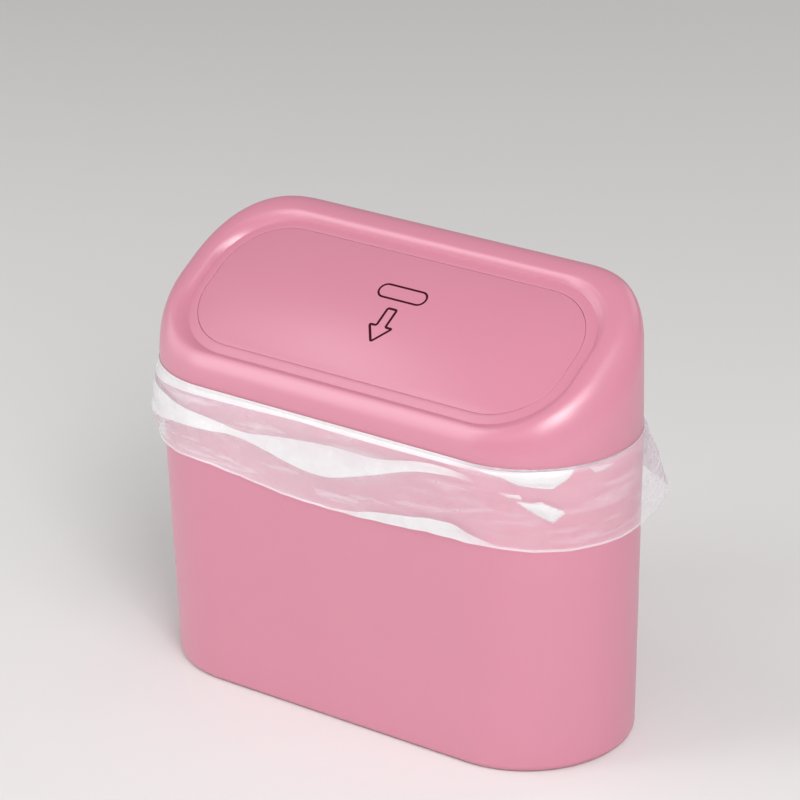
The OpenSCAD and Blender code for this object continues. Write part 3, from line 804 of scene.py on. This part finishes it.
def edgeDistance(s, d, polygon):
    # distance to the nearest edge of a polygon, above 0 inside it
    inside = np.zeros(s.shape, bool)
    near = np.full(s.shape, 1e9)
    for (s0, d0), (s1, d1) in zip(polygon, polygon[1:] + polygon[:1]):
        share = ((s - s0) * (s1 - s0) + (d - d0) * (d1 - d0)) / ((s1 - s0) ** 2 + (d1 - d0) ** 2)
        t = np.clip(share, 0, 1)
        near = np.minimum(near, np.hypot(s - s0 - t * (s1 - s0), d - d0 - t * (d1 - d0)))
        if d0 != d1:
            inside ^= ((d0 > d) != (d1 > d)) & (s < (s1 - s0) * (d - d0) / (d1 - d0) + s0)
    return np.where(inside, near, -near)


def rimStations():
    # places of the film's columns along the rim, closer together where the photo's side sees them
    s = [-halfGirth]
    while s[-1] < halfGirth:
        fine = bag["fineFrom"] < s[-1] < bag["fineTo"]
        s.append(s[-1] + (bag["frontStep"] if fine else bag["backStep"]))
    s = np.array(s[:-1])
    return s[:-1] if halfGirth - s[-1] < 0.6 else s


def cuffRows(s):
    # depth, stand off the wall and whiteness of the cuff's rows, two rows close together at each fold line
    names = "strip", "foldTop", "foldRidge", "hem", "hemStrip"
    strip, top, ridge, hem, hemStrip = (along(name, s) for name in names)
    top = np.maximum(top, strip + 1)
    ridge = np.maximum(ridge, top + 1)
    hem = hem + 0.12 * np.sin(s * 0.21) + 0.08 * np.sin(s * 0.47 + 1)
    hemFold = hem - hemStrip
    count, base = len(s), bag["offWall"]
    knots = [(np.zeros(count), np.full(count, base)),
             (strip, base + 0.75 + 0 * s),
             (top, base + 0.35 + 0 * s),
             (ridge, base + along("ridgeOut", s)),
             (hemFold, base + 0.35 + 0.1 * np.sin(s * 0.13)),
             (hem, base + 0.55 + 0.15 * np.sin(s * 0.11 + 2) ** 2)]
    depths, outs, whites = [], [], []
    for k, rowCount in enumerate(bag["rows"]):
        (d0, o0), (d1, o1) = knots[k], knots[k + 1]
        # each row's whiteness: folded film and painted highlight
        upper, lower = (along(table, s) for table in bag["whites"][k])
        for j in range(rowCount):
            t = (0.02 if k else 0) + 0.96 * j / (rowCount - 1)
            depths.append(d0 + (d1 - d0) * t)
            outs.append(o0 + (o1 - o0) * t)
            whites.append(upper + (lower - upper) * t)
    depths.append(hem)
    outs.append(knots[-1][1])
    whites.append(np.full(count, bag["hemWhite"]))
    return np.array(depths), np.array(outs), np.array(whites)


def crumpledFacets(sGrid, d):
    # flat facets with sharp creases, as in crumpled film
    rng = np.random.default_rng(bag["seed"])
    count = bag["facets"]
    seeds = np.column_stack([rng.uniform(-halfGirth, halfGirth, count), rng.uniform(-4, 42, count)])
    tilt = rng.normal(0, bag["facetTilt"], (count, 2))
    lift = rng.uniform(0, bag["facetLift"], count)
    facet = np.zeros(d.shape)
    for i in range(d.shape[0]):
        ds = (sGrid[i][:, None] - seeds[:, 0]) * 0.7
        dd = d[i][:, None] - seeds[:, 1]
        facet[i] = (lift + tilt[:, 0] * ds + tilt[:, 1] * dd - 0.006 * (ds * ds + dd * dd)).max(axis=1)
    return np.clip(facet, 0, bag["facetMost"])


def cuffSheet(s):
    # points, whiteness and crumple of the cuff outside the bucket
    d, out, white = cuffRows(s)
    sGrid = np.broadcast_to(s, d.shape)
    left, right = (-sGrid - bag["smoothLeft"]) / 15, (sGrid - bag["smoothRight"]) / 15
    crumple = 1 - bag["smoothShare"] * np.maximum(easeStep(left), easeStep(right))
    out = out + crumpledFacets(sGrid, d) * easeStep(d / 5) * crumple
    # each glint paints a highlight into the whiteness and pushes the film out a little
    for strength, polygon in bag["glints"]:
        inside = edgeDistance(sGrid, d, polygon)
        white = np.maximum(white, strength * easeStep(inside / 1.1 + 0.5))
        out = out + 0.4 * np.clip(inside / 2, 0, 1)

    # the left end stands off the wall; the back swells over the hooks and flares at its corners
    lobes = easeStep((d - 4) / 8) * (1 - 0.6 * easeStep((d - 24) / 9)) - 0.35 * np.exp(-((d - 16) / 2.2) ** 2)
    out = out + bag["lobe"] * np.exp(-((sGrid - bag["lobeAt"]) / bag["lobeWide"]) ** 2) * lobes
    z = bucket["rim"] + bag["over"] - d
    x, y = rimPlace(sGrid, out, z)
    share = easeStep((y + 6) / 34) * easeStep((bucket["width"] / 2 + 3 - np.abs(x)) / 16)
    corner = easeStep((np.abs(x) - bag["flareFrom"]) / 22)
    grow = easeStep(d / 14) * (1 - corner) + np.clip(d / 32, 0, 1.1) * corner
    y = y + bag["swell"] * share * grow
    gathers = np.abs(np.sin(sGrid * 0.16 + 0.05 * d)) + 0.6 * np.abs(np.sin(sGrid * 0.071 + 1 - 0.04 * d))
    y = y + bag["gather"] * share * gathers * easeStep(d / 20)
    return np.stack([x, y, z], -1), white, crumple


def beadRows(s):
    # the rolled lip that shows under the hood's edge
    rim, low = bucket["rim"], bag["beadLow"]
    stand = along("beadStand", s)
    rows = []
    for out, up in bag["bead"]:
        x, y = rimPlace(s, out, np.full(len(s), rim))
        rows.append(np.stack([x, y, rim + low + (up - low) * stand], -1))
    return np.array(rows)


def liningRows(s):
    # from the middle of the floor up the inside and over the rim; the last number is how loose the film is
    rim, inside, low = bucket["rim"], bag["inside"], bucket["floor"] + bag["over"]
    start, top = rim - 0.3, rim + bag["over"]
    lining = [(0.0, top, 0), (inside * 0.5, top, 0), (inside - 0.2, top, 0), (inside, start, 0)]
    for k in range(1, 17):
        z = start - (start - low - 4) * k / 16
        lining.append((inside, z, easeStep((rim - 14 - z) / 20)))
    lining += [(inside + 0.8, low + 1.6, 0.3), (inside + 2.4, low + 0.3, 0.3)]
    lining += [(inset, low + 0.1, 0.3) for inset in (12, 24, 38)]
    ripple = 0.7 * np.sin(s * 0.093 + 0.6) ** 2 + 0.5 * np.sin(s * 0.21 + 1.3) ** 2
    rows = []
    for inset, z, loose in lining:
        height = np.full(len(s), float(z))
        x, y = rimPlace(s, -inset - loose * ripple * 0.9, height)
        rows.append(np.stack([x, y, height], -1))
    return np.array(rows)[::-1]


def filmMesh(s, rows, rimRow):
    # one closed bag through the rows, unrolled into a UV map of s and of the length up or down from rimRow
    total, count = len(rows), len(s)
    steps = np.linalg.norm(np.diff(rows, axis=0), axis=2)
    length = np.concatenate([np.zeros((1, count)), np.cumsum(steps, axis=0)])
    length -= length[rimRow]
    faces, uvs = [], []
    for i in range(total - 1):
        for j in range(count):
            n = (j + 1) % count
            faces.append((i * count + j, i * count + n, (i + 1) * count + n, (i + 1) * count + j))
            left, right = s[j], s[n] if n else halfGirth
            uvs.append(((left, length[i, j]), (right, length[i, n]),
                        (right, length[i + 1, n]), (left, length[i + 1, j])))
    obj = meshObject("linerBag", rows.reshape(-1, 3), faces + [tuple(range(count))], sharp=28)
    corners = np.array(uvs).reshape(-1, 2) / 100
    unrolled = np.zeros((len(obj.data.loops), 2))
    unrolled[:len(corners)] = corners
    obj.data.uv_layers.new(name="unrolled").data.foreach_set("uv", unrolled.ravel())
    return obj


def makeBag():
    s = rimStations()
    cuff, white, crumple = cuffSheet(s)
    bead, lining = beadRows(s), liningRows(s)
    # painted highlight specks along the lip, broken up along the rim
    beadHighlight = along("beadWhite", s) * (1 + 0.4 * np.sin(s * 0.37) * np.sin(s * 0.91 + 1))
    clear = np.array(bag["beadClear"])[:, None]
    beadWhite = np.maximum(white[:1], beadHighlight) * clear
    beadCrumple = np.repeat(crumple[:1], len(bead), 0)
    veil = np.repeat(along("veil", s)[None], len(bead) + len(cuff), 0)
    inner = len(lining), len(s)
    looks = {"veil": [np.full(inner, bag["insideVeil"]), veil],
             "white": [np.full(inner, bag["insideWhite"]), beadWhite, white],
             "crumple": [np.ones(inner), beadCrumple, crumple]}
    rows = np.concatenate([lining, bead, cuff])
    obj = filmMesh(s, rows, len(lining) - 3)
    for name, values in looks.items():
        flat = np.concatenate(values).ravel().astype(np.float32)
        obj.data.attributes.new(name, "FLOAT", "POINT").data.foreach_set("value", flat)
    thick = obj.modifiers.new("film", "SOLIDIFY")
    thick.thickness = bag["film"] * mm
    thick.offset = 0
    bakeModifiers(obj)
    smooth(obj.data, 28)
    area = sum(p.area for p in obj.data.polygons) / 2
    print("bag film area", round(area, 4), "rows", len(rows), "columns", len(s))
    return obj


# Dressing

makeCamera()
makeStudio()
bucketShell = joined(makeBucket(), [makeRail(-bucket["railX"]), makeRail(bucket["railX"])])
dress(bucketShell, pinkPlastic, "bucket_body", "pink_plastic", "bucket")
smooth(bucketShell.data, 45)
hoodShell = joined(makeHood(), [makeLug(-hinge["lugX"]), makeLug(hinge["lugX"])])
dress(hoodShell, pinkPlastic, "hood_body", "pink_plastic", "hood")
print("shells made")

flapPlate = rounded(mergedCopy("flapPlate", "flap"), 0.2)
dress(flapPlate, pinkPlastic, "flap_body", "pink_plastic", "flap")
for side in ("left", "right"):
    hookPiece = rounded(mergedCopy("hook" + side.capitalize(), "hook_" + side), 0.45, segments=3)
    dress(hookPiece, pinkPlastic, "bucket_body", "pink_plastic", "hook_" + side)
print("flap and hooks made")

hingePin = makeRod()
dress(hingePin, springSteel, "hood_body", "steel", "hinge_rod")
returnSpring, springStart, springEnd = makeSpring()
dress(returnSpring, springSteel, None, "steel", "return_spring")
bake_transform(returnSpring)
flapMark = makeMark()
dress(flapMark, markInk, "flap_body", "pink_plastic")
print("hinge, spring and mark made")

linerBag = makeBag()
dress(linerBag, bagFilm, "bucket_body", "bag_film", "liner_bag")
print("bag made")
